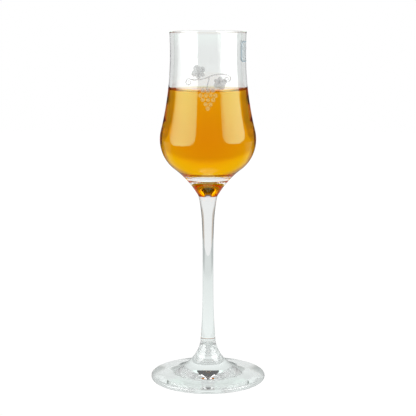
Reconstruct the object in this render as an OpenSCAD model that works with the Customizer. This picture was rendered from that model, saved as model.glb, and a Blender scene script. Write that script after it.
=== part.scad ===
// Tulip-shaped grappa glass: a blown bowl, a drawn stem and a pressed foot, joined hot end to end,
// with a fill of amber spirit and a blank film sticker on the neck.
// Millimetres, +Z up, origin on the axis at the plane that the foot rests on, front towards -Y.

/* [Bowl] */
// Height of the bowl, from the stem weld to the top of the lip
bowl_h = 84.5; // [78:0.5:94]
// Outer diameter at the waist of the neck
neck_d = 38.7; // [34:0.1:44]
// Depth of the waist of the neck below the lip
neck_drop = 10; // [7:0.5:14]
// Outer diameter at the widest point of the belly
belly_d = 49.6; // [47:0.1:56]
// Height of the widest point of the belly above the stem weld
belly_rise = 29.5; // [26:0.5:34]
// Radius of the outline just above the widest point
belly_top_r = 20; // [12:1:36]
// Radius of the outline just below the widest point
belly_low_r = 19.3; // [16:0.1:21]
// Radius of the hollow flank that runs down to the stem
flank_r = 49; // [30:1:80]
// Thickness of the blown wall
wall = 1.5; // [1:0.1:2.2]
// Radius of the soft edges of the cut lip
lip_r = 0.3; // [0.15:0.05:0.45]
// Depth of glass between the floor of the cavity and the lowest point of the belly's round
floor_t = 1.8; // [1.5:0.1:4]
// Radius of the dished floor of the cavity
floor_r = 57; // [40:1:120]

/* [Stem] */
// Length of the stem between its welds
stem_l = 77; // [60:1:95]
// Diameter of the weld between the stem and the bowl
bowl_weld_d = 9.8; // [8:0.1:12]
// Diameter at the thinnest point of the stem
stem_d = 5.6; // [4:0.1:7]
// Height of the thinnest point of the stem above the foot weld
thin_rise = 37.5; // [25:0.5:50]
// How late the stem swells towards the bowl, as a power
swell_up = 4; // [2:0.5:6]
// How late the stem swells towards the foot, as a power
swell_down = 3; // [2:0.5:6]

/* [Foot] */
// Height of the foot, from the resting plane to the foot weld
foot_h = 20.5; // [18:0.5:23]
// Diameter of the foot
foot_d = 60; // [54:1:68]
// Thickness of the round edge of the foot
edge_t = 2.6; // [2:0.1:3.4]
// Slope of the upper face of the foot, in degrees from level
top_slope = 8; // [4:0.5:10]
// Radius of the hollow flare from the upper face to the stem
flare_r = 20; // [17:0.5:26]
// Diameter of the foot and of the stem at the foot weld
foot_weld_d = 7.8; // [7:0.1:9]
// Radius of the soft edges that leave a fine groove round the foot weld
seam_r = 0.4; // [0.2:0.05:0.8]
// Diameter of the shallow dome under the foot
dome_d = 48; // [40:1:52]
// Rise of the shallow dome under the foot
dome_h = 2.4; // [1:0.1:3]

/* [Spirit] */
// Depth of the spirit on the axis
fill_depth = 42.9; // [25:0.1:52]
// Height that the spirit creeps up the wall
creep_h = 1.6; // [0.8:0.1:1.8]
// Radius of the curve between the level surface and the wall
creep_r = 2; // [1.8:0.1:2.6]
// Clearance between the spirit and the wall
spirit_gap = 0.02; // [0.01:0.01:0.1]

/* [Sticker] */
// Width of the sticker, measured across its face
sticker_w = 17; // [8:0.5:24]
// Height of the sticker
sticker_h = 10.4; // [6:0.2:12]
// Corner radius of the sticker
sticker_corner_r = 1.6; // [0.5:0.1:2.8]
// Thickness of the film
sticker_t = 0.1; // [0.05:0.01:0.3]
// Depth of the middle of the sticker below the lip
sticker_drop = 9.8; // [8:0.2:14]
// Turn of the sticker from the front of the glass towards the right, in degrees
sticker_turn = 85; // [0:1:359]
// Clearance between the film and the glass
sticker_gap = 0.02; // [0.01:0.01:0.1]

/* [Hidden] */
$fn = 96;

// Largest distance between a curve and the chords that stand for it
curve_sag = 0.01;
// Number of chords on each end of the stem
stem_steps = 20;
// Spare height of the ring that the sticker is cut from
cut_spare = 1;

clear_glass = [0.85, 0.91, 0.9, 0.4];
amber = [0.87, 0.52, 0.03, 0.85];
pale_film = [0.8, 0.9, 0.95, 0.8];

// Heights of the joints, the widest point, the waist and the lip
bowl_weld_z = foot_h + stem_l;
belly_z = bowl_weld_z + belly_rise;
lip_z = bowl_weld_z + bowl_h;
neck_z = lip_z - neck_drop;
stem_thin_z = foot_h + thin_rise;
sticker_z = lip_z - sticker_drop;

// Outer outline of the bowl: a hollow neck and a full belly, each an arc that touches the next
belly_in = (belly_d - neck_d) / 2;
belly_drop = neck_z - belly_z;
ogee_span = (belly_drop * belly_drop + belly_in * belly_in) / (2 * belly_in);
ogee_a = atan2(belly_drop, ogee_span - belly_in);
neck_r = ogee_span - belly_top_r;
neck_c = [neck_d / 2 + neck_r, neck_z];
belly_top_c = [belly_d / 2 - belly_top_r, belly_z];
belly_low_c = [belly_d / 2 - belly_low_r, belly_z];

// Slope at which the flank, which touches the belly, reaches the weld
weld_p = [bowl_weld_d / 2, bowl_weld_z];
weld_v = weld_p - belly_low_c;
weld_len = norm(weld_v);
flank_k = (weld_len * weld_len - belly_low_r * belly_low_r) / (2 * flank_r);
weld_a = atan2(weld_v.y, -weld_v.x) + acos((flank_k - belly_low_r) / weld_len);
flank_c = weld_p + flank_r * [cos(weld_a), -sin(weld_a)];
flank_a = atan2(belly_low_c.y - flank_c.y, flank_c.x - belly_low_c.x);

// Angle at height z on a circle of radius r about the centre of the neck's curve
function neck_angle(z, r) = 180 - asin((z - neck_z) / r);

// Cut lip: a level ring between two soft edges
lip_out_r = neck_r + lip_r;
lip_out_a = neck_angle(lip_z - lip_r, lip_out_r);
lip_out_c = neck_c + lip_out_r * [cos(lip_out_a), sin(lip_out_a)];
lip_in_r = neck_r + wall - lip_r;
lip_in_a = neck_angle(lip_z - lip_r, lip_in_r);
lip_in_c = neck_c + lip_in_r * [cos(lip_in_a), sin(lip_in_a)];

// Floor of the cavity: a dish on the axis, and a knuckle that touches the dish and the wall
floor_z = belly_z - belly_low_r + floor_t;
fill_z = floor_z + fill_depth;
cavity_r = belly_d / 2 - wall;
cavity_h = belly_z - floor_z;
knuckle_r = (2 * floor_r * cavity_h - cavity_h * cavity_h - cavity_r * cavity_r) / (2 * (floor_r - cavity_r));
knuckle_c = [cavity_r - knuckle_r, belly_z];
dish_c = [0, floor_z + floor_r];
dish_a = atan2(knuckle_c.y - dish_c.y, knuckle_c.x);

// Foot: round edge, sloped upper face, and a flare that touches that face and ends at the weld
edge_r = edge_t / 2;
edge_c = [foot_d / 2 - edge_r, edge_r];
top_n = [sin(top_slope), cos(top_slope)];
foot_weld_p = [foot_weld_d / 2, foot_h - seam_r];
seam_c = [foot_weld_d / 2 - seam_r, foot_h];
flare_a = asin(1 + (edge_r - (foot_weld_p - edge_c) * top_n) / flare_r) - top_slope;
flare_c = foot_weld_p + flare_r * [cos(flare_a), sin(flare_a)];
dome_r = (dome_d * dome_d / 4 + dome_h * dome_h) / (2 * dome_h);
dome_c = [0, dome_h - dome_r];

// Points of an arc about c from angle a0 to a1, without its first point
function arc(c, r, a0, a1) =
    let (steps = ceil(abs(a1 - a0) / (2 * acos(1 - curve_sag / r))))
    [for (i = [1:steps]) let (a = a0 + (a1 - a0) * i / steps) c + r * [cos(a), sin(a)]];

// Wall of the cavity from the axis up to the lip, moved inwards by inset
function cavity(inset) = concat(
    [[0, floor_z + inset]],
    arc(dish_c, floor_r - inset, -90, dish_a),
    arc(knuckle_c, knuckle_r - inset, dish_a, 0),
    arc(belly_top_c, belly_top_r - wall - inset, 0, ogee_a),
    arc(neck_c, neck_r + wall + inset, 180 + ogee_a, lip_in_a));

// Radius of the cavity at height z, moved inwards by inset
function cavity_radius(z, inset) = lookup(z, [for (p = cavity(inset)) [p.y, p.x]]);

// Point of the stem at share s of the way from its thinnest point to a weld
function stem_point(s, weld_d, weld_z, power) =
    [stem_d / 2 + (weld_d - stem_d) / 2 * pow(s, power), stem_thin_z + (weld_z - stem_thin_z) * s];

module bowl() {
    hollow = cavity(0);
    color(clear_glass)
        rotate_extrude()
            polygon(concat(
                [[0, bowl_weld_z], weld_p],
                arc(flank_c, flank_r, 180 - weld_a, 180 - flank_a),
                arc(belly_low_c, belly_low_r, -flank_a, 0),
                arc(belly_top_c, belly_top_r, 0, ogee_a),
                arc(neck_c, neck_r, 180 + ogee_a, lip_out_a),
                arc(lip_out_c, lip_r, lip_out_a - 180, 90),
                [lip_in_c + [0, lip_r]],
                arc(lip_in_c, lip_r, 90, lip_in_a),
                [for (i = [len(hollow) - 2:-1:0]) hollow[i]]));
}

module stem() {
    color(clear_glass)
        rotate_extrude()
            polygon(concat(
                [[0, foot_h], seam_c],
                arc(seam_c + [0, seam_r], seam_r, -90, 0),
                [for (i = [stem_steps - 1:-1:1])
                    stem_point(i / stem_steps, foot_weld_d, foot_h + seam_r, swell_down)],
                [for (i = [0:stem_steps])
                    stem_point(i / stem_steps, bowl_weld_d, bowl_weld_z, swell_up)],
                [[0, bowl_weld_z]]));
}

module foot() {
    color(clear_glass)
        rotate_extrude()
            polygon(concat(
                [[0, dome_h]],
                arc(dome_c, dome_r, 90, atan2(-dome_c.y, dome_d / 2)),
                [[edge_c.x, 0]],
                arc(edge_c, edge_r, -90, 90 - top_slope),
                [flare_c - flare_r * top_n],
                arc(flare_c, flare_r, 270 - top_slope, 180 + flare_a),
                arc(seam_c - [0, seam_r], seam_r, 0, 90),
                [[0, foot_h]]));
}

module spirit() {
    brim_z = fill_z + creep_h;
    brim_r = cavity_radius(brim_z, spirit_gap);
    creep_w = sqrt(2 * creep_h * creep_r - creep_h * creep_h);
    creep_c = [brim_r - creep_w, fill_z + creep_r];
    color(amber)
        rotate_extrude()
            polygon(concat(
                [for (p = cavity(spirit_gap)) if (p.y < brim_z) p],
                [[brim_r, brim_z]],
                arc(creep_c, creep_r, atan2(creep_h - creep_r, creep_w), -90),
                [[0, fill_z]]));
}

// Flat plate with round corners, centred
module round_plate(w, h, r) {
    square([w - 2 * r, h], center = true);
    square([w, h - 2 * r], center = true);
    for (x = [-1, 1], y = [-1, 1])
        translate([x * (w / 2 - r), y * (h / 2 - r)])
            circle(r);
}

// Thin ring that follows the neck, as tall as the sticker and a little over
module sticker_ring() {
    back_r = neck_r - sticker_gap;
    face_r = back_r - sticker_t;
    reach = sticker_h / 2 + cut_spare;
    low_a = neck_angle(sticker_z - reach, back_r);
    high_a = neck_angle(sticker_z + reach, back_r);
    rotate_extrude()
        polygon(concat(
            [neck_c + face_r * [cos(low_a), sin(low_a)]],
            arc(neck_c, face_r, low_a, high_a),
            [neck_c + back_r * [cos(high_a), sin(high_a)]],
            arc(neck_c, back_r, high_a, low_a)));
}

module sticker() {
    color(pale_film)
        rotate([0, 0, sticker_turn - 90])
            intersection() {
                sticker_ring();
                translate([0, 0, sticker_z])
                    rotate([90, 0, 90])
                        linear_extrude(neck_d)
                            round_plate(sticker_w, sticker_h, sticker_corner_r);
            }
}

bowl();
stem();
foot();
spirit();
sticker();
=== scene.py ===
import math

import bpy
import numpy as np
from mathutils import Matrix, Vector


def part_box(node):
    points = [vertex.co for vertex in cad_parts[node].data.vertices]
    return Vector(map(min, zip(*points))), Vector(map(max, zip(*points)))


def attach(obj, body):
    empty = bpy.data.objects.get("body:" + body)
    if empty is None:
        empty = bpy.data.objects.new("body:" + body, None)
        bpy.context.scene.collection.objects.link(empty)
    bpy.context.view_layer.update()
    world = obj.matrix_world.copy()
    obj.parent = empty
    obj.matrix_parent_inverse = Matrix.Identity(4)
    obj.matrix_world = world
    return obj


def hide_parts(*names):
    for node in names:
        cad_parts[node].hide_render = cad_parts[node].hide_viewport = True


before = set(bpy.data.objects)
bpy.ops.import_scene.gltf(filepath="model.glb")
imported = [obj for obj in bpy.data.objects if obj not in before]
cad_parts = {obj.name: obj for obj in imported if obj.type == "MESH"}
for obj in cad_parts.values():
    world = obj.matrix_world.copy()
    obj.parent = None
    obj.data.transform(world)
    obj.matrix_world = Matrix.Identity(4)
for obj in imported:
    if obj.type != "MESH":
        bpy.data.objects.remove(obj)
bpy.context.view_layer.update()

MM = 0.001
WHITE = (1.0, 1.0, 1.0, 1.0)

# Camera: where it stands, how far it looks down in degrees, and its focal length in picture widths
EYE_DISTANCE = 657.2 * MM
EYE_HEIGHT = 203.1 * MM
EYE_PITCH = 9.67
EYE_CLIP = 10.0 * MM
FOCAL_WIDTHS = 3.085
SENSOR = 36.0

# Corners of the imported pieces
bowl_low, bowl_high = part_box("bowl")
stem_low, stem_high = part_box("stem")
foot_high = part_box("foot")[1]
spirit_low, spirit_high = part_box("spirit")
sticker_low, sticker_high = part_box("sticker")

# Bowl
LIP_Z = bowl_high.z
BOWL_WELD_Z = bowl_low.z
BOWL_WELD_R = stem_high.x
BELLY_R = bowl_high.x
BELLY_Z = BOWL_WELD_Z + 29.5 * MM
NECK_R = 19.35 * MM
NECK_Z = LIP_Z - 10.0 * MM
BELLY_TOP_CURVE = 20.0 * MM
BELLY_LOW_CURVE = 19.3 * MM
FLANK_CURVE = 49.0 * MM
WALL = 1.5 * MM
LIP_EDGE_R = 0.3 * MM
FLOOR_CURVE = 57.0 * MM

# Spirit
SPIRIT_GAP = 0.02 * MM
FLOOR_Z = spirit_low.z - SPIRIT_GAP
BRIM_Z = spirit_high.z
CREEP_H = 1.6 * MM
CREEP_CURVE = 2.0 * MM
LEVEL_Z = BRIM_Z - CREEP_H
LEVEL_BAND = 0.3 * MM

# Stem
FOOT_WELD_Z = stem_low.z
FOOT_WELD_R = 3.9 * MM
SEAM_CURVE = 0.4 * MM
STEM_R = 2.8 * MM
STEM_THIN_Z = FOOT_WELD_Z + 37.5 * MM
SWELL_UP = 4.0
SWELL_DOWN = 3.0

# Foot
FOOT_R = foot_high.x
EDGE_CURVE = 1.3 * MM
TOP_SLOPE = 8.0
FLARE_CURVE = 20.0 * MM
DOME_R = 24.0 * MM
DOME_H = 2.4 * MM
RING_BAND = 0.2 * MM

# Film sticker
FILM_W = 17.0 * MM
FILM_CORNER = 1.6 * MM
FILM_T = 0.1 * MM
FILM_GAP = 0.02 * MM
FILM_TURN = 85.0
FILM_ROWS = (0.25, 0.5, 0.7, 0.8, 0.86, 0.92, 0.96, 1.0)

# Ornament: sizes across and up from the middle of the top row of grapes, which lies at ORNAMENT_Z
ORNAMENT_Z = 153.4 * MM
ORNAMENT_LINE = 0.42 * MM
ORNAMENT_GAP = 0.01 * MM
ORNAMENT_TOP = 0.04 * MM
CANE_REACH = 9.5 * MM
CANE_RISE = 6.8 * MM
CANE_WAVE = 1.4 * MM
CANE_TURN = 2.4
CANE_WIDTHS = 1.4
STALK_RISE = 3.7 * MM
STALK_REACH = 3.1 * MM
STALK_SWAY = 0.5 * MM
STALK_TURN = 1.6
# Each leaf: across, up, turn in degrees and size
LEAVES = ((5.6 * MM, 4.4 * MM, -62.0, 4.2 * MM), (-4.4 * MM, 8.6 * MM, 118.0, 4.4 * MM))
LEAF_LOBES = 5
LEAF_BODY, LEAF_LEAN, LEAF_DEPTH = 0.55, 0.2, 0.25
LEAF_ROWS = (0.35, 0.7, 1.0)
VEIN_REACH = 0.9
VEIN_TAPER = 0.6
# Each tendril: the point of the cane that it leaves, its size, and how far it winds in radians
TENDRILS = ((-1, 2.0 * MM, -9.0), (0, 1.7 * MM, 9.0))
TENDRIL_CLOSE = 0.85
TENDRIL_TAPER = 0.4
GRAPE_COUNTS = (3, 4, 3, 2, 1)
GRAPE_STEP = 2.5 * MM
GRAPE_DROP = 0.87
GRAPE_R = 1.08 * MM
GRAPE_ROWS = (0.5, 1.0)
GRAPE_SHIFT, SHIFT_ACROSS, SHIFT_UP = 0.04, 5.1, 3.7
GRAPE_SPREAD, SPREAD_TURN = 0.06, 2.3

# Mesh density: steps round the axis and along each curve, and the angle past which an edge is sharp
TURNS = 256
DISH_STEPS = 24
KNUCKLE_STEPS = 48
FLANK_STEPS = 24
BELLY_STEPS = 40
OGEE_STEPS = 12
NECK_STEPS = 24
LIP_STEPS = 8
CREEP_STEPS = 12
STEM_STEPS = 40
SEAM_STEPS = 10
DOME_STEPS = 24
EDGE_STEPS = 20
FLARE_STEPS = 40
FILM_CORNER_STEPS = 12
FILM_STEPS = 160
LEAF_STEPS = 120
VEIN_STEPS = 12
CANE_STEPS = 80
TENDRIL_STEPS = 60
GRAPE_STEPS = 24
SHARP_ANGLE = 40.0

# Glass and spirit
GLASS_IOR = 1.52
SPIRIT_IOR = 1.36
SKIN_IOR = 1.0
GLASS_TINT = (0.99, 1.0, 0.996, 1.0)
GLASS_DEEP_TINT = (0.98, 1.0, 0.99, 1.0)
AMBER_GLOSS = (0.34, 1.0, 0.5, 1.0)
WAVE_DRAWN = (1.0, 1.0, 0.3)
WAVE_SCALE = 70.0
WAVE_DETAIL = 1.0
WAVE_HEIGHT = 0.1 * MM
SPIRIT_COLOUR = (0.982, 0.868, 0.0, 1.0)
SPIRIT_DENSITY = 205.0

# Film and frosting
FILM_COLOUR = (0.86, 0.96, 1.0, 1.0)
FILM_EDGE_COLOUR = (0.5, 0.64, 0.72, 1.0)
FILM_EDGE = (0.84, 0.97)
FILM_ROUGHNESS = 0.2
FILM_ALPHA = 0.2
FILM_EDGE_ALPHA = 0.35
FROST_COLOUR = (0.56, 0.565, 0.56, 1.0)
# Frost colour below the spirit level: painted amber light from the spirit behind the frost
FROST_PAINTED_AMBER_LIGHT = (0.98, 0.7, 0.2, 1.0)
FROST_ROUGHNESS = 0.7
FROST_ALPHA = 0.25
GRAIN_ALPHA = 0.2
GRAIN_SCALE = 1800.0
GRAIN_DETAIL = 3.0

# World: levels, and the ranges of direction over which each part of it comes in or goes out
MIRRORED_ROOM = 0.04
ROOM_LEVEL = 0.12
SIDE_LEVEL = 0.6
SIDE_ACROSS, SIDE_LOW, SIDE_TOP = (0.7, 0.8), (0.0, 0.15), (0.45, 0.6)
SQUARE_ACROSS, SQUARE_LOW = (0.9, 0.96), (-0.14, -0.06)
HIGH_SIDE_LEVEL = 3.0
HIGH_SIDE_ACROSS, HIGH_SIDE_LOW, HIGH_SIDE_TOP = (0.31, 0.37), (0.72, 0.8), (0.9, 0.95)
FRONT_LEVEL = 0.35
FRONT_TOWARDS = (0.2, 0.4)
STRIP_LEVEL = 1.6
STRIP_TOWARDS, STRIP_ACROSS, STRIP_HALF = (0.3, 0.4), (0.5, 0.6), (0.04, 0.08)

# Backdrop, in metres
BACKDROP_Y = 0.32
BACKDROP_WIDTH = 0.76
BACKDROP_HEIGHT = 0.36
BACKDROP_LOW = 0.9
BACKDROP_RISE = 0.42
BACKDROP_RISE_Z = (0.155, 0.2)
BACKDROP_END_Z = (0.27, 0.305)
BACKDROP_COOL = (0.82, 1.0, 0.91, 1.0)
BORDER_LEVEL = 0.55
BORDER_RISE = 0.2
BORDER_RISE_Z = (0.06, 0.12)
BORDER_X = (0.17, 0.21)
BORDER_LEAN = 0.08
BORDER_WARM = (1.0, 0.87, 0.76, 1.0)
MIRRORED_SPREAD = 0.3

# Low screen and dark card, in metres
LOW_SCREEN_Y = 0.06
LOW_SCREEN_WIDTH = 0.2
LOW_SCREEN_HEIGHT = 0.044
LOW_SCREEN_FADE_Z = (0.037, 0.044)
LOW_SCREEN_LEVEL = 0.95
LOW_SCREEN_FALL = 0.12
LOW_SCREEN_FALL_Z = (0.0, 0.05)
CARD_SIDE = 0.024
CARD_NEAR = 0.04
CARD_FAR = 0.086
CARD_Z = 0.055
CARD_LEVEL = 0.12

# Floor, in metres: what the camera sees of it, what is seen through glass, and what glass mirrors
FLOOR_DROP = 0.1 * MM
FLOOR_REACH = 1.2
FLOOR_STEPS = 128
FLOOR_COOL = (0.955, 1.0, 0.99, 1.0)
FLOOR_NEAR = (0.025, 0.05)
FLOOR_SIDE_X = (0.1, 0.2)
FLOOR_BACK_Y = (0.03, 0.15)
FLOOR_SHADOW = 0.12
# Floor glow to the camera and through glass, each less near the foot by a painted shadow
FLOOR_SEEN, FLOOR_SEEN_PAINTED_SHADOW = 1.02, 0.06
FLOOR_BENT, FLOOR_BENT_PAINTED_SHADOW = 0.88, 0.24
FLOOR_MIRRORED = 0.4
FLOOR_FALL, FLOOR_SIDE_FALL, FLOOR_FALL_REACH = 0.12, 0.26, (0.1, 0.25)
FLOOR_FAR_FALL, FLOOR_FAR_REACH, FLOOR_FAR_Y = 0.36, (0.42, 0.5), (-0.2, 0.0)

# Softboxes: azimuths in degrees from the viewer's direction, heights in metres, and brightness across the panel
SOFTBOXES = {
    "left": (-29, -104, 0.055, 0.42, [
        (0.0, 0.08), (0.06, 0.22), (0.13, 0.42), (0.25, 0.7), (0.38, 0.95),
        (0.5, 1.1), (0.75, 1.1), (0.88, 0.95), (1.0, 0.9),
    ]),
    "right": (33, 100, 0.09, 0.42, [
        (0.0, 0.3), (0.06, 0.5), (0.13, 0.75), (0.25, 1.0), (0.6, 1.1), (0.8, 0.95), (1.0, 0.7),
    ]),
}
# What each set of softboxes is for, with its radiance and its distance from the axis
LAMP_USES = {"gloss": (5.7, 0.32), "matt": (3.5, 0.34)}
LAMP_CORNER = 0.155
LAMP_FADE = 0.01

# Bounces that light may take inside the glass
BOUNCES = 128
CLEAR_BOUNCES = 16

# Outline of the bowl: arcs that touch one another, worked out as in the solids
belly_in = BELLY_R - NECK_R
belly_drop = NECK_Z - BELLY_Z
ogee_span = (belly_drop ** 2 + belly_in ** 2) / (2 * belly_in)
ogee_a = math.degrees(math.atan2(belly_drop, ogee_span - belly_in))
neck_curve = ogee_span - BELLY_TOP_CURVE
neck_c = np.array([NECK_R + neck_curve, NECK_Z])
belly_top_c = np.array([BELLY_R - BELLY_TOP_CURVE, BELLY_Z])
belly_low_c = np.array([BELLY_R - BELLY_LOW_CURVE, BELLY_Z])
weld_p = np.array([BOWL_WELD_R, BOWL_WELD_Z])
weld_v = weld_p - belly_low_c
weld_len = math.hypot(*weld_v)
flank_k = (weld_len ** 2 - BELLY_LOW_CURVE ** 2) / (2 * FLANK_CURVE)
weld_slope = math.atan2(weld_v[1], -weld_v[0]) + math.acos((flank_k - BELLY_LOW_CURVE) / weld_len)
flank_c = weld_p + FLANK_CURVE * np.array([math.cos(weld_slope), -math.sin(weld_slope)])
weld_a = math.degrees(weld_slope)
flank_a = math.degrees(math.atan2(belly_low_c[1] - flank_c[1], flank_c[0] - belly_low_c[0]))
cavity_r = BELLY_R - WALL
cavity_h = BELLY_Z - FLOOR_Z
knuckle_curve = (2 * FLOOR_CURVE * cavity_h - cavity_h ** 2 - cavity_r ** 2) / (2 * (FLOOR_CURVE - cavity_r))
knuckle_c = np.array([cavity_r - knuckle_curve, BELLY_Z])
dish_c = np.array([0.0, FLOOR_Z + FLOOR_CURVE])
dish_a = math.degrees(math.atan2(knuckle_c[1] - dish_c[1], knuckle_c[0]))


def set_camera():
    """Camera in front of the glass, a little above the lip, looking down at the middle of its height."""
    data = bpy.data.cameras.new("camera")
    data.sensor_width = SENSOR
    data.lens = SENSOR * FOCAL_WIDTHS
    data.clip_start = EYE_CLIP
    eye = bpy.data.objects.new("camera", data)
    eye.location = (0.0, -EYE_DISTANCE, EYE_HEIGHT)
    eye.rotation_euler = (math.radians(90.0 - EYE_PITCH), 0.0, 0.0)
    bpy.context.collection.objects.link(eye)
    bpy.context.scene.camera = eye


def arc(centre, radius, start, end, count):
    """Points centre + radius (cos a, sin a), with a going evenly from start to end in degrees, first point left out."""
    a = np.radians(np.linspace(start, end, count + 1)[1:])
    return np.asarray(centre) + radius * np.stack([np.cos(a), np.sin(a)], axis=1)


def neck_angle(z, radius):
    """Angle in degrees at height z on a circle of that radius about the centre of the neck's curve."""
    return 180 - math.degrees(math.asin((z - NECK_Z) / radius))


def wetted_wall(inset):
    """Wall of the cavity from the axis up to the brim of the spirit, moved inwards by inset."""
    inner = neck_curve + WALL + inset
    return np.vstack([
        [[0.0, FLOOR_Z + inset]],
        arc(dish_c, FLOOR_CURVE - inset, -90, dish_a, DISH_STEPS),
        arc(knuckle_c, knuckle_curve - inset, dish_a, 0, KNUCKLE_STEPS),
        arc(belly_top_c, BELLY_TOP_CURVE - WALL - inset, 0, ogee_a, OGEE_STEPS),
        arc(neck_c, inner, 180 + ogee_a, neck_angle(BRIM_Z, inner), NECK_STEPS),
    ])


def outer_radius(z):
    """Radius of the bowl's outer wall at heights z from the belly's widest point up to the lip."""
    neck = neck_c[0] - np.sqrt(neck_curve ** 2 - (z - NECK_Z) ** 2)
    belly = belly_top_c[0] + np.sqrt(np.maximum(BELLY_TOP_CURVE ** 2 - (z - BELLY_Z) ** 2, 0.0))
    return np.where(z > BELLY_Z + BELLY_TOP_CURVE * math.sin(math.radians(ogee_a)), neck, belly)


def on_bowl(flat, turn):
    """Lays flat points (across, up, proud) on the bowl's outer wall at a turn from the front, in degrees."""
    across, up, proud = np.moveaxis(np.asarray(flat, float), -1, 0)
    r = outer_radius(up)
    a = math.radians(turn) + np.arcsin(across / r)
    return np.stack([(r + proud) * np.sin(a), -(r + proud) * np.cos(a), up], axis=-1)


def add_piece(name, skins):
    """One mesh of closed skins, each a first pole, rows of closed rings of points, and a last pole."""
    points, faces, start = [], [], 0
    for first, rings, last in skins:
        rows, steps = rings.shape[:2]
        here = np.arange(steps)
        after = (here + 1) % steps
        row = start + 1 + steps * np.arange(rows - 1)[:, None]
        end = start + 1 + steps * (rows - 1)
        pole = np.full(steps, start)
        quads = np.stack([row + here, row + after, row + steps + after, row + steps + here], axis=-1)
        points.append(np.vstack([first, rings.reshape(-1, 3), last]))
        faces += np.stack([pole, start + 1 + after, start + 1 + here], axis=1).tolist()
        faces += quads.reshape(-1, 4).tolist()
        faces += np.stack([end + here, end + after, pole + 1 + rows * steps], axis=1).tolist()
        start += 2 + rows * steps
    mesh = bpy.data.meshes.new(name)
    mesh.from_pydata(np.vstack(points).tolist(), [], faces)
    mesh.shade_smooth()
    mesh.set_sharp_from_angle(angle=math.radians(SHARP_ANGLE))
    piece = bpy.data.objects.new(name, mesh)
    bpy.context.collection.objects.link(piece)
    return piece


def lathe(name, outline, slots):
    """Surface of revolution: outline point (r, z) at turn t goes to (r sin t, -r cos t, z).

    The first and last points lie on the axis and become poles. slots gives a material number for each stretch
    of the outline between two points.
    """
    r, z = outline[1:-1].T
    t = np.arange(TURNS) * (2 * np.pi / TURNS)
    rings = np.stack([np.outer(r, np.sin(t)), np.outer(r, -np.cos(t)), np.outer(z, np.ones(TURNS))], axis=-1)
    piece = add_piece(name, [((0, 0, outline[0, 1]), rings, (0, 0, outline[-1, 1]))])
    piece.data.polygons.foreach_set("material_index", np.repeat(slots, TURNS).astype(np.int32))
    return piece


def pad(outline, shares, low, high, turn):
    """Thin plate on the bowl: rows of the outline drawn in to shares of its size, from low to high over the glass."""
    centre = outline.mean(axis=0)
    size = np.concatenate([shares, shares[::-1]])[:, None, None]
    proud = np.repeat([low, high], len(shares))[:, None, None] * np.ones((1, len(outline), 1))
    rings = np.concatenate([centre + size * (outline - centre), proud], axis=-1)
    return on_bowl([*centre, low], turn), on_bowl(rings, turn), on_bowl([*centre, high], turn)


def stroke(path, width, low, high):
    """Thin bar on the front of the bowl: a box section of a given width carried along a flat path."""
    way = np.gradient(path, axis=0)
    left = np.stack([-way[:, 1], way[:, 0]], axis=1) / np.hypot(way[:, 0], way[:, 1])[:, None]
    half = left * np.broadcast_to(width, len(path))[:, None] / 2
    flat = [np.column_stack([path + side * half, np.full(len(path), proud)])
            for side, proud in ((1, low), (1, high), (-1, high), (-1, low))]
    middle = (low + high) / 2
    return on_bowl([*path[0], middle], 0.0), on_bowl(np.stack(flat, axis=1), 0.0), on_bowl([*path[-1], middle], 0.0)


def around(at, reach, angle):
    """Points at a distance and an angle from a point."""
    return np.asarray(at) + np.stack([reach * np.cos(angle), reach * np.sin(angle)], axis=-1)


def dress(piece, node, materials):
    """Ties a piece to the frame and gives it its materials."""
    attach(piece, "root")
    if node:
        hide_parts(node)
    for material in materials:
        piece.data.materials.append(material)


class Shade:
    """A shader socket that can be used in sums: each operator adds a Math node to its tree."""

    def __init__(self, tree, socket=None):
        self.tree = tree
        self.socket = socket

    def node(self, kind, settings, inputs, output=0):
        """Adds a node of a kind, sets its settings, then its inputs to values or links, and wraps one output."""
        made = self.tree.nodes.new(kind)
        for key, value in settings.items():
            if key == "stops":
                ramp = made.color_ramp.elements
                while len(ramp) < len(value):
                    ramp.new(1.0)
                for stop, (place, grey) in zip(ramp, value):
                    stop.position = place
                    stop.color = (grey, grey, grey, 1.0)
            else:
                setattr(made, key, value)
        for key, value in inputs.items():
            if isinstance(value, Shade):
                self.tree.links.new(value.socket, made.inputs[key])
            else:
                made.inputs[key].default_value = value
        return Shade(self.tree, made.outputs[output] if len(made.outputs) else None)

    def sum(self, operation, a, b):
        """One Math node."""
        return self.node("ShaderNodeMath", {"operation": operation}, {0: a, 1: b})

    def __add__(self, other):
        return self.sum("ADD", self, other)

    def __radd__(self, other):
        return self.sum("ADD", other, self)

    def __sub__(self, other):
        return self.sum("SUBTRACT", self, other)

    def __rsub__(self, other):
        return self.sum("SUBTRACT", other, self)

    def __mul__(self, other):
        return self.sum("MULTIPLY", self, other)

    def __rmul__(self, other):
        return self.sum("MULTIPLY", other, self)

    def __truediv__(self, other):
        return self.sum("DIVIDE", self, other)

    def __pow__(self, other):
        return self.sum("POWER", self, other)

    def above(self, least):
        """The greater of this and least."""
        return self.sum("MAXIMUM", self, least)

    def size(self):
        """This without its sign."""
        return self.sum("ABSOLUTE", self, 0.0)

    def ramp(self, start, end):
        """Smooth step from 0 at start to 1 at end."""
        return self.node("ShaderNodeMapRange", {"interpolation_type": "SMOOTHSTEP"}, {
            "Value": self, "From Min": start, "From Max": end, "To Min": 0.0, "To Max": 1.0,
        })

    def part(self, axis):
        """One axis of a vector."""
        return self.node("ShaderNodeSeparateXYZ", {}, {0: self}, axis)

    def blend(self, a, b):
        """Colour that goes from a to b as this goes from 0 to 1: the third output of a Mix node."""
        return self.node("ShaderNodeMix", {"data_type": "RGBA"}, {"Factor": self, "A": a, "B": b}, 2)


def new_material(name):
    """An empty material and the wrapper that adds nodes to it."""
    material = bpy.data.materials.new(name)
    material.use_nodes = True
    material.node_tree.nodes.clear()
    return material, Shade(material.node_tree)


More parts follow.
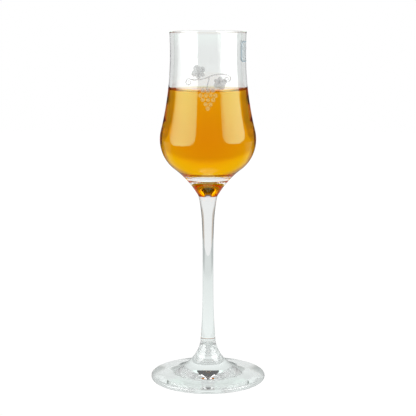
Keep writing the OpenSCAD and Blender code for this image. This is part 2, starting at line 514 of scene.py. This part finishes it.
def clear_inputs(ior, tint, gloss):
    """Inputs of a smooth clear body, with a tint for the light that passes and one for the light that it mirrors."""
    return {"Base Color": tint, "Roughness": 0.0, "IOR": ior, "Transmission Weight": 1.0, "Specular Tint": gloss}


def glass_material(name, ior, gloss):
    """Clear fire-polished glass against a neighbour that bends light by ior, with slow waves drawn out upwards."""
    material, shade = new_material(name)
    place = shade.node("ShaderNodeTexCoord", {}, {}, "Object")
    drawn = shade.node("ShaderNodeVectorMath", {"operation": "MULTIPLY"}, {0: place, 1: WAVE_DRAWN})
    wave = shade.node("ShaderNodeTexNoise", {}, {"Vector": drawn, "Scale": WAVE_SCALE, "Detail": WAVE_DETAIL})
    tint = wave.blend(GLASS_TINT, GLASS_DEEP_TINT)
    normal = shade.node("ShaderNodeBump", {}, {"Strength": 1.0, "Distance": WAVE_HEIGHT, "Height": wave})
    body = shade.node("ShaderNodeBsdfPrincipled", {}, {**clear_inputs(ior, tint, gloss), "Normal": normal})
    shade.node("ShaderNodeOutputMaterial", {}, {"Surface": body})
    return material


def weld_material():
    """Fused face between two pieces of glass, which nothing can see."""
    material, shade = new_material("weld_seam")
    shade.node("ShaderNodeOutputMaterial", {}, {"Surface": shade.node("ShaderNodeBsdfTransparent", {}, {})})
    return material


def spirit_material():
    """Amber liquid: its open surface bends light, its skin against the glass doesn't, and its body absorbs."""
    material, shade = new_material("amber_spirit")
    is_open = shade.node("ShaderNodeAttribute", {"attribute_name": "open_surface"}, {}, "Fac")
    skin = shade.node("ShaderNodeBsdfPrincipled", {}, clear_inputs(SKIN_IOR, WHITE, WHITE))
    surface = shade.node("ShaderNodeBsdfPrincipled", {}, clear_inputs(SPIRIT_IOR, WHITE, WHITE))
    look = shade.node("ShaderNodeMixShader", {}, {0: is_open, 1: skin, 2: surface})
    body = shade.node("ShaderNodeVolumeAbsorption", {}, {"Color": SPIRIT_COLOUR, "Density": SPIRIT_DENSITY})
    shade.node("ShaderNodeOutputMaterial", {}, {"Surface": look, "Volume": body})
    return material


def film_material():
    """See-through pale blue film, denser along its cut edge."""
    material, shade = new_material("pale_film")
    edge = shade.node("ShaderNodeAttribute", {"attribute_name": "rim"}, {}, "Fac").ramp(*FILM_EDGE)
    look = shade.node("ShaderNodeBsdfPrincipled", {}, {
        "Base Color": edge.blend(FILM_COLOUR, FILM_EDGE_COLOUR), "Roughness": FILM_ROUGHNESS,
        "Alpha": FILM_ALPHA + FILM_EDGE_ALPHA * edge,
    })
    shade.node("ShaderNodeOutputMaterial", {}, {"Surface": look})
    return material


def frost_material():
    """Fine satin frosting, matt, thin and a little uneven: grey over the clear neck, and cream over the spirit,
    where the cream is painted amber light from the spirit behind it.
    """
    material, shade = new_material("satin_frost")
    place = shade.node("ShaderNodeTexCoord", {}, {}, "Object")
    grain = shade.node("ShaderNodeTexNoise", {}, {"Vector": place, "Scale": GRAIN_SCALE, "Detail": GRAIN_DETAIL})
    # Below the spirit level the frost is cream as painted amber light; above it, grey
    dry = place.part("Z").ramp(LEVEL_Z, BRIM_Z)
    look = shade.node("ShaderNodeBsdfPrincipled", {}, {
        "Base Color": dry.blend(FROST_PAINTED_AMBER_LIGHT, FROST_COLOUR), "Roughness": FROST_ROUGHNESS,
        "Alpha": FROST_ALPHA + GRAIN_ALPHA * grain,
    })
    shade.node("ShaderNodeOutputMaterial", {}, {"Surface": look})
    return material


def make_bowl(clear, wet, weld, filled):
    """Bowl: weld face, flank, belly, neck and lip outside, then the neck and the wetted wall inside."""
    inner = neck_curve + WALL
    brim_a = neck_angle(BRIM_Z, neck_curve)
    lip_out_a = neck_angle(LIP_Z - LIP_EDGE_R, neck_curve + LIP_EDGE_R)
    lip_in_a = neck_angle(LIP_Z - LIP_EDGE_R, inner - LIP_EDGE_R)
    lip_out_c = arc(neck_c, neck_curve + LIP_EDGE_R, brim_a, lip_out_a, 1)
    lip_in_c = arc(neck_c, inner - LIP_EDGE_R, brim_a, lip_in_a, 1)
    outer_filled = np.vstack([
        [[0.0, BOWL_WELD_Z], weld_p],
        arc(flank_c, FLANK_CURVE, 180 - weld_a, 180 - flank_a, FLANK_STEPS),
        arc(belly_low_c, BELLY_LOW_CURVE, -flank_a, 0, BELLY_STEPS),
        arc(belly_top_c, BELLY_TOP_CURVE, 0, ogee_a, OGEE_STEPS),
        arc(neck_c, neck_curve, 180 + ogee_a, brim_a, NECK_STEPS),
    ])
    outer_neck = np.vstack([
        arc(neck_c, neck_curve, brim_a, lip_out_a, NECK_STEPS),
        arc(lip_out_c, LIP_EDGE_R, lip_out_a - 180, 90, LIP_STEPS),
        lip_in_c + [0.0, LIP_EDGE_R],
        arc(lip_in_c, LIP_EDGE_R, 90, lip_in_a, LIP_STEPS),
    ])
    dry = arc(neck_c, inner, lip_in_a, neck_angle(BRIM_Z, inner), NECK_STEPS)
    wetted = wetted_wall(0.0)[::-1][1:]
    outline = np.vstack([outer_filled, outer_neck, dry, wetted])
    # Places in the list of materials: weld face, outside up to the brim, dry glass, wetted wall
    slots = np.repeat([2, 3, 0, 1], [1, len(outer_filled) - 2, len(outer_neck) + len(dry), len(wetted)])
    dress(lathe("bowl", outline, slots), "bowl", [clear, wet, weld, filled])


def make_stem(clear, weld):
    """Stem: radius grows from the thinnest point to each weld as a power of the share of the way.

    The lower end has a soft edge that leaves half of the groove round the foot weld.
    """
    share = np.linspace(0, 1, STEM_STEPS + 1)
    low_z = FOOT_WELD_Z + SEAM_CURVE
    down = np.stack([STEM_R + (FOOT_WELD_R - STEM_R) * share ** SWELL_DOWN,
                     STEM_THIN_Z + (low_z - STEM_THIN_Z) * share], axis=1)
    up = np.stack([STEM_R + (BOWL_WELD_R - STEM_R) * share ** SWELL_UP,
                   STEM_THIN_Z + (BOWL_WELD_Z - STEM_THIN_Z) * share], axis=1)
    seam_c = np.array([FOOT_WELD_R - SEAM_CURVE, FOOT_WELD_Z])
    outline = np.vstack([
        [[0.0, FOOT_WELD_Z], seam_c],
        arc(seam_c + [0.0, SEAM_CURVE], SEAM_CURVE, -90, 0, SEAM_STEPS),
        down[-2::-1], up[1:], [[0.0, BOWL_WELD_Z]],
    ])
    slots = np.zeros(len(outline) - 1)
    slots[[0, -1]] = 1
    dress(lathe("stem", outline, slots), "stem", [clear, weld])


def make_foot(clear, weld):
    """Foot: shallow dome underneath, resting ring, round edge, sloped top, flare, and the groove at the weld."""
    slope = math.radians(TOP_SLOPE)
    edge_c = np.array([FOOT_R - EDGE_CURVE, EDGE_CURVE])
    top_n = np.array([math.sin(slope), math.cos(slope)])
    neck_p = np.array([FOOT_WELD_R, FOOT_WELD_Z - SEAM_CURVE])
    seam_c = neck_p - [SEAM_CURVE, 0.0]
    flare = math.asin(1 + (EDGE_CURVE - (neck_p - edge_c) @ top_n) / FLARE_CURVE) - slope
    flare_c = neck_p + FLARE_CURVE * np.array([math.cos(flare), math.sin(flare)])
    dome_curve = (DOME_R ** 2 + DOME_H ** 2) / (2 * DOME_H)
    dome_a = math.degrees(math.atan2(dome_curve - DOME_H, DOME_R))
    outline = np.vstack([
        [[0.0, DOME_H]],
        arc((0.0, DOME_H - dome_curve), dome_curve, 90, dome_a, DOME_STEPS),
        [[DOME_R + RING_BAND, 0.0], [edge_c[0] - RING_BAND, 0.0], [edge_c[0], 0.0]],
        arc(edge_c, EDGE_CURVE, -90, 90 - TOP_SLOPE, EDGE_STEPS),
        [flare_c - FLARE_CURVE * top_n],
        arc(flare_c, FLARE_CURVE, 270 - TOP_SLOPE, 180 + math.degrees(flare), FLARE_STEPS),
        arc(seam_c, SEAM_CURVE, 0, 90, SEAM_STEPS),
        [[0.0, FOOT_WELD_Z]],
    ])
    slots = np.zeros(len(outline) - 1)
    slots[-1] = 1
    dress(lathe("foot", outline, slots), "foot", [clear, weld])


def make_spirit(amber):
    """Spirit: skin along the wetted wall, a hollow curve at the brim, and the level surface."""
    skin = wetted_wall(SPIRIT_GAP)
    creep_w = math.sqrt(2 * CREEP_H * CREEP_CURVE - CREEP_H ** 2)
    creep_c = np.array([skin[-1, 0] - creep_w, LEVEL_Z + CREEP_CURVE])
    brim_a = math.degrees(math.atan2(CREEP_H - CREEP_CURVE, creep_w))
    creep = arc(creep_c, CREEP_CURVE, brim_a, -90, CREEP_STEPS)
    level = [[creep[-1, 0] - LEVEL_BAND, LEVEL_Z], [0.0, LEVEL_Z]]
    outline = np.vstack([skin, creep, level])
    piece = lathe("spirit", outline, np.zeros(len(outline) - 1))
    is_open = np.repeat(np.arange(len(outline) - 1) >= len(skin) - 1, TURNS).astype(np.float32)
    piece.data.attributes.new("open_surface", "FLOAT", "FACE").data.foreach_set("value", is_open)
    dress(piece, "spirit", [amber])


def make_film(film):
    """Blank film sticker: a rounded plate that follows the neck, with its distance from the middle as an attribute."""
    corner = np.array([FILM_W / 2 - FILM_CORNER, (sticker_high.z - sticker_low.z) / 2 - FILM_CORNER])
    middle = np.array([0.0, (sticker_high.z + sticker_low.z) / 2])
    bends = [arc(middle + corner * sign, FILM_CORNER, start, start + 90, FILM_CORNER_STEPS)
             for sign, start in (((1, 1), 0), ((-1, 1), 90), ((-1, -1), 180), ((1, -1), 270))]
    edge = np.vstack([*bends, bends[0][:1]])
    run = np.concatenate([[0.0], np.cumsum(np.hypot(*np.diff(edge, axis=0).T))])
    even = np.linspace(0.0, run[-1], FILM_STEPS, endpoint=False)
    outline = np.stack([np.interp(even, run, edge[:, 0]), np.interp(even, run, edge[:, 1])], axis=1)
    piece = add_piece("sticker", [pad(outline, FILM_ROWS, FILM_GAP, FILM_GAP + FILM_T, FILM_TURN)])
    rim = np.concatenate([[0.0], np.repeat(FILM_ROWS + FILM_ROWS[::-1], FILM_STEPS), [0.0]])
    piece.data.attributes.new("rim", "FLOAT", "POINT").data.foreach_set("value", rim.astype(np.float32))
    dress(piece, "sticker", [film])


def vine_leaf(at, turn, size):
    """Leaf plate with outline r = size (body + lean cos a + depth |cos (lobes a / 2)|), and a vein towards each tip."""
    def reach(a):
        return size * (LEAF_BODY + LEAF_LEAN * np.cos(a) + LEAF_DEPTH * np.abs(np.cos(LEAF_LOBES / 2 * a)))
    a = np.linspace(-np.pi, np.pi, LEAF_STEPS, endpoint=False)
    tips = np.radians(360.0 / LEAF_LOBES * (np.arange(LEAF_LOBES) - LEAF_LOBES // 2))
    share = np.linspace(0.0, VEIN_REACH, VEIN_STEPS)
    plate = pad(around(at, reach(a), a + turn), LEAF_ROWS, ORNAMENT_GAP, ORNAMENT_TOP, 0.0)
    veins = [stroke(around(at, reach(tip) * share, np.full(VEIN_STEPS, tip + turn)),
                    ORNAMENT_LINE * (1 - VEIN_TAPER * share), ORNAMENT_TOP, ORNAMENT_TOP + ORNAMENT_GAP)
             for tip in tips]
    return [plate, *veins]


def tendril(end, size, winding):
    """Spiral that leaves the end of the cane level, and whose distance from its middle falls evenly as it winds."""
    share = np.linspace(0.0, 1.0, TENDRIL_STEPS)
    path = around(end - [0.0, size], size * (1 - TENDRIL_CLOSE * share), math.pi / 2 + winding * share)
    return stroke(path, ORNAMENT_LINE * (1 - TENDRIL_TAPER * share), ORNAMENT_GAP, ORNAMENT_TOP)


def grape_bunch(middle):
    """Round plates in rows of given counts, each shifted and sized a little by sines of its number."""
    turn = np.linspace(0.0, 2 * np.pi, GRAPE_STEPS, endpoint=False)
    row = np.repeat(np.arange(len(GRAPE_COUNTS)), GRAPE_COUNTS)
    across = np.concatenate([np.arange(count) - (count - 1) / 2 for count in GRAPE_COUNTS])
    number = np.arange(len(row))
    at = middle + GRAPE_STEP * np.stack([
        across + GRAPE_SHIFT * np.sin(SHIFT_ACROSS * number),
        GRAPE_SHIFT * np.cos(SHIFT_UP * number) - GRAPE_DROP * row,
    ], axis=1)
    size = GRAPE_R * (1 + GRAPE_SPREAD * np.sin(SPREAD_TURN * number))
    return [pad(around(place, np.full(GRAPE_STEPS, r), turn), GRAPE_ROWS, ORNAMENT_GAP, ORNAMENT_TOP, 0.0)
            for place, r in zip(at, size)]


def make_ornament(frost):
    """Frosted vine sprig on the front of the bowl: a cane with two leaves and tendrils over a bunch of grapes.

    The cane rises as a sine along its way, and the stalk sways as one.
    """
    middle = np.array([0.0, ORNAMENT_Z])
    share = np.linspace(-1.0, 1.0, CANE_STEPS)
    cane = middle + np.stack([CANE_REACH * share, CANE_RISE + CANE_WAVE * np.sin(CANE_TURN * share)], axis=1)
    stalk = middle + np.stack([STALK_SWAY * np.sin(STALK_TURN * share), STALK_RISE + STALK_REACH * share], axis=1)
    skins = [stroke(path, CANE_WIDTHS * ORNAMENT_LINE, ORNAMENT_GAP, ORNAMENT_TOP) for path in (cane, stalk)]
    for across, up, turn, size in LEAVES:
        skins += vine_leaf(middle + [across, up], math.radians(turn), size)
    skins += [tendril(cane[end], size, winding) for end, size, winding in TENDRILS]
    skins += grape_bunch(middle)
    dress(add_piece("ornament", skins), None, [frost])


def world_light():
    """White to the camera, and nearly dark in what glass mirrors.

    Through glass it is a dim room with light at the sides, high up at the sides, in front and in two level strips.
    """
    world = bpy.data.worlds.new("studio")
    world.use_nodes = True
    world.node_tree.nodes.clear()
    shade = Shade(world.node_tree)
    seen = shade.node("ShaderNodeLightPath", {}, {}, "Is Camera Ray")
    bent = shade.node("ShaderNodeLightPath", {}, {}, "Is Transmission Ray")
    way = shade.node("ShaderNodeTexCoord", {}, {}, "Generated")
    across = way.part("X").size()
    towards = 0 - way.part("Y")
    height = way.part("Z")
    square_on = across.ramp(*SQUARE_ACROSS) * height.ramp(*SQUARE_LOW)
    sides = across.ramp(*SIDE_ACROSS) * (1 - height.ramp(*SIDE_TOP)) * height.ramp(*SIDE_LOW).above(square_on)
    high_side = height.ramp(*HIGH_SIDE_LOW) * (1 - height.ramp(*HIGH_SIDE_TOP)) * across.ramp(*HIGH_SIDE_ACROSS)
    front = towards.ramp(*FRONT_TOWARDS) * (1 - sides)
    strips = towards.ramp(*STRIP_TOWARDS) * across.ramp(*STRIP_ACROSS) * (1 - height.size().ramp(*STRIP_HALF))
    glow = SIDE_LEVEL * sides + FRONT_LEVEL * front + STRIP_LEVEL * strips + HIGH_SIDE_LEVEL * high_side
    level = MIRRORED_ROOM + bent * (ROOM_LEVEL - MIRRORED_ROOM + glow)
    light = shade.node("ShaderNodeBackground", {}, {"Color": WHITE, "Strength": seen + (1 - seen) * level})
    shade.node("ShaderNodeOutputWorld", {}, {"Surface": light})
    bpy.context.scene.world = world


def stage_piece(name, points):
    """Flat piece of the studio with an empty material, and the wrapper that adds nodes to it."""
    mesh = bpy.data.meshes.new(name)
    mesh.from_pydata(points, [], [list(range(len(points)))])
    piece = bpy.data.objects.new(name, mesh)
    bpy.context.collection.objects.link(piece)
    material, shade = new_material(name)
    mesh.materials.append(material)
    return piece, shade


def upright_sheet(name, width, height, y):
    """Piece of the studio that stands on the floor behind the glass, square to the viewer."""
    side, low = width / 2, -FLOOR_DROP
    return stage_piece(name, [(-side, y, low), (side, y, low), (side, y, height), (-side, y, height)])


def hide_from_all_but_bent(piece):
    """Leaves a piece of the studio for see-through rays alone."""
    piece.visible_camera = False
    piece.visible_glossy = False
    piece.visible_diffuse = False
    piece.visible_shadow = False


def backdrop():
    """Upright white sheet behind the glass, brighter towards the top, that the camera looks through."""
    sheet, shade = upright_sheet("backdrop", BACKDROP_WIDTH, BACKDROP_HEIGHT, BACKDROP_Y)
    bent = shade.node("ShaderNodeLightPath", {}, {}, "Is Transmission Ray")
    place = shade.node("ShaderNodeTexCoord", {}, {}, "Object")
    wide = place.part("X").size() / (MIRRORED_SPREAD + (1 - MIRRORED_SPREAD) * bent)
    height = place.part("Z")
    rise = height.ramp(*BACKDROP_RISE_Z)
    high = height.ramp(*BORDER_RISE_Z)
    border = MIRRORED_ROOM + (BORDER_LEVEL + BORDER_RISE * high - MIRRORED_ROOM) * bent
    share = (1 - (wide - BORDER_LEAN * high).ramp(*BORDER_X)) * (1 - height.ramp(*BACKDROP_END_Z))
    level = border + share * (BACKDROP_LOW + BACKDROP_RISE * rise - border)
    warm = share.above(high).blend(BORDER_WARM, WHITE)
    tone = (share * rise).blend(warm, BACKDROP_COOL)
    glow = shade.node("ShaderNodeEmission", {}, {"Color": tone, "Strength": level})
    shade.node("ShaderNodeOutputMaterial", {}, {"Surface": glow})
    sheet.visible_camera = False


def low_screen():
    """Low pale screen close behind the foot, that only see-through rays meet."""
    screen, shade = upright_sheet("low_screen", LOW_SCREEN_WIDTH, LOW_SCREEN_HEIGHT, LOW_SCREEN_Y)
    height = shade.node("ShaderNodeTexCoord", {}, {}, "Object").part("Z")
    level = LOW_SCREEN_LEVEL - LOW_SCREEN_FALL * height.ramp(*LOW_SCREEN_FALL_Z)
    glow = shade.node("ShaderNodeEmission", {}, {"Color": FLOOR_COOL, "Strength": level})
    clear = shade.node("ShaderNodeBsdfTransparent", {}, {})
    look = shade.node("ShaderNodeMixShader", {}, {0: height.ramp(*LOW_SCREEN_FADE_Z), 1: glow, 2: clear})
    shade.node("ShaderNodeOutputMaterial", {}, {"Surface": look})
    hide_from_all_but_bent(screen)


def dark_card():
    """Level card behind the stem, dark underneath and clear from above, that the flare of the foot looks up at."""
    card, shade = stage_piece("dark_card", [
        (-CARD_SIDE, CARD_NEAR, CARD_Z), (CARD_SIDE, CARD_NEAR, CARD_Z),
        (CARD_SIDE, CARD_FAR, CARD_Z), (-CARD_SIDE, CARD_FAR, CARD_Z),
    ])
    below = shade.node("ShaderNodeNewGeometry", {}, {}, "Backfacing")
    clear = shade.node("ShaderNodeBsdfTransparent", {}, {})
    dark = shade.node("ShaderNodeEmission", {}, {"Color": WHITE, "Strength": CARD_LEVEL})
    look = shade.node("ShaderNodeMixShader", {}, {0: below, 1: clear, 2: dark})
    shade.node("ShaderNodeOutputMaterial", {}, {"Surface": look})
    hide_from_all_but_bent(card)


def floor():
    """Round white floor: its grey near the foot keeps a real soft shadow, its glow is less there as a painted shadow,
    and for what is seen through glass it darkens outwards as painted shade.
    """
    t = np.arange(FLOOR_STEPS) * (2 * np.pi / FLOOR_STEPS)
    points = np.stack([FLOOR_REACH * np.cos(t), FLOOR_REACH * np.sin(t), 0 * t - FLOOR_DROP], axis=1)
    shade = stage_piece("floor", points.tolist())[1]
    seen = shade.node("ShaderNodeLightPath", {}, {}, "Is Camera Ray")
    bent = shade.node("ShaderNodeLightPath", {}, {}, "Is Transmission Ray")
    place = shade.node("ShaderNodeTexCoord", {}, {}, "Object")
    reach = shade.node("ShaderNodeVectorMath", {"operation": "LENGTH"}, {0: place}, "Value")
    near = 1 - reach.ramp(*FLOOR_NEAR)
    side = place.part("X").size().ramp(*FLOOR_SIDE_X)
    depth = place.part("Y")
    back = depth.ramp(*FLOOR_BACK_Y)
    # Painted shade: the glow seen through glass falls off outwards, and a painted shadow lowers it near the foot
    fall = reach.ramp(*FLOOR_FALL_REACH) * (FLOOR_FALL + FLOOR_SIDE_FALL * back * side)
    far_fall = FLOOR_FAR_FALL * reach.ramp(*FLOOR_FAR_REACH) * side * depth.ramp(*FLOOR_FAR_Y)
    through = FLOOR_BENT - FLOOR_BENT_PAINTED_SHADOW * near - fall - far_fall
    # Glow to the camera, with a painted shadow near the foot
    strength = seen * (FLOOR_SEEN - FLOOR_SEEN_PAINTED_SHADOW * near) + (1 - seen) * (
        bent * through + (1 - bent) * FLOOR_MIRRORED * back)
    glow = shade.node("ShaderNodeEmission", {}, {"Color": seen.blend(FLOOR_COOL, WHITE), "Strength": strength})
    grey = FLOOR_SHADOW * near
    lit = shade.node("ShaderNodeBsdfDiffuse", {}, {
        "Color": shade.node("ShaderNodeCombineColor", {}, {0: grey, 1: grey, 2: grey}),
    })
    look = shade.node("ShaderNodeAddShader", {}, {0: lit, 1: glow})
    shade.node("ShaderNodeOutputMaterial", {}, {"Surface": look})


def softbox(side, use):
    """Upright lamp panel with round corners, between two azimuths, facing the axis of the glass.

    The panel for gloss is what glass mirrors, and the panel for matt surfaces lights them at a plain level.
    """
    start, end, low, high, stops = SOFTBOXES[side]
    radiance, distance = LAMP_USES[use]
    name = "softbox_%s_%s" % (side, use)
    width = 2 * distance * math.tan(math.radians(abs(end - start) / 2))
    height = high - low
    data = bpy.data.lights.new(name, "AREA")
    data.shape = "RECTANGLE"
    data.size = width
    data.size_y = height
    data.energy = radiance * math.pi * width * height
    data.use_nodes = True
    data.node_tree.nodes.clear()
    shade = Shade(data.node_tree)
    place = shade.node("ShaderNodeNewGeometry", {}, {}, "Parametric")
    across = place.part("X")
    past_side = ((across - 0.5).size() * width - (width / 2 - LAMP_CORNER)).above(0.0)
    past_end = ((place.part("Y") - 0.5).size() * height - (height / 2 - LAMP_CORNER)).above(0.0)
    past = (past_side * past_side + past_end * past_end) ** 0.5
    inside = 1 - past.ramp(LAMP_CORNER - LAMP_FADE, LAMP_CORNER)
    level = inside * shade.node("ShaderNodeValToRGB", {"stops": stops}, {0: across})
    glow = shade.node("ShaderNodeEmission", {}, {"Color": WHITE, "Strength": level})
    shade.node("ShaderNodeOutputLight", {}, {"Surface": glow})
    lamp = bpy.data.objects.new(name, data)
    a = math.radians((start + end) / 2)
    lamp.location = (distance * math.sin(a), -distance * math.cos(a), (low + high) / 2)
    lamp.rotation_euler = (math.radians(90), 0.0, a)
    lamp.visible_camera = False
    lamp.visible_transmission = False
    lamp.visible_glossy = use == "gloss"
    lamp.visible_diffuse = use == "matt"
    bpy.context.collection.objects.link(lamp)


set_camera()
clear_glass = glass_material("clear_glass", GLASS_IOR, WHITE)
wet_glass = glass_material("wet_glass", GLASS_IOR / SPIRIT_IOR, WHITE)
filled_glass = glass_material("filled_glass", GLASS_IOR, AMBER_GLOSS)
weld_seam = weld_material()
make_bowl(clear_glass, wet_glass, weld_seam, filled_glass)
make_stem(clear_glass, weld_seam)
make_foot(clear_glass, weld_seam)
make_spirit(spirit_material())
make_film(film_material())
make_ornament(frost_material())
world_light()
backdrop()
low_screen()
dark_card()
floor()
for side in SOFTBOXES:
    for use in LAMP_USES:
        softbox(side, use)

scene = bpy.context.scene
scene.view_settings.view_transform = "Standard"
scene.cycles.max_bounces = BOUNCES
scene.cycles.transmission_bounces = BOUNCES
scene.cycles.glossy_bounces = BOUNCES
scene.cycles.transparent_max_bounces = CLEAR_BOUNCES
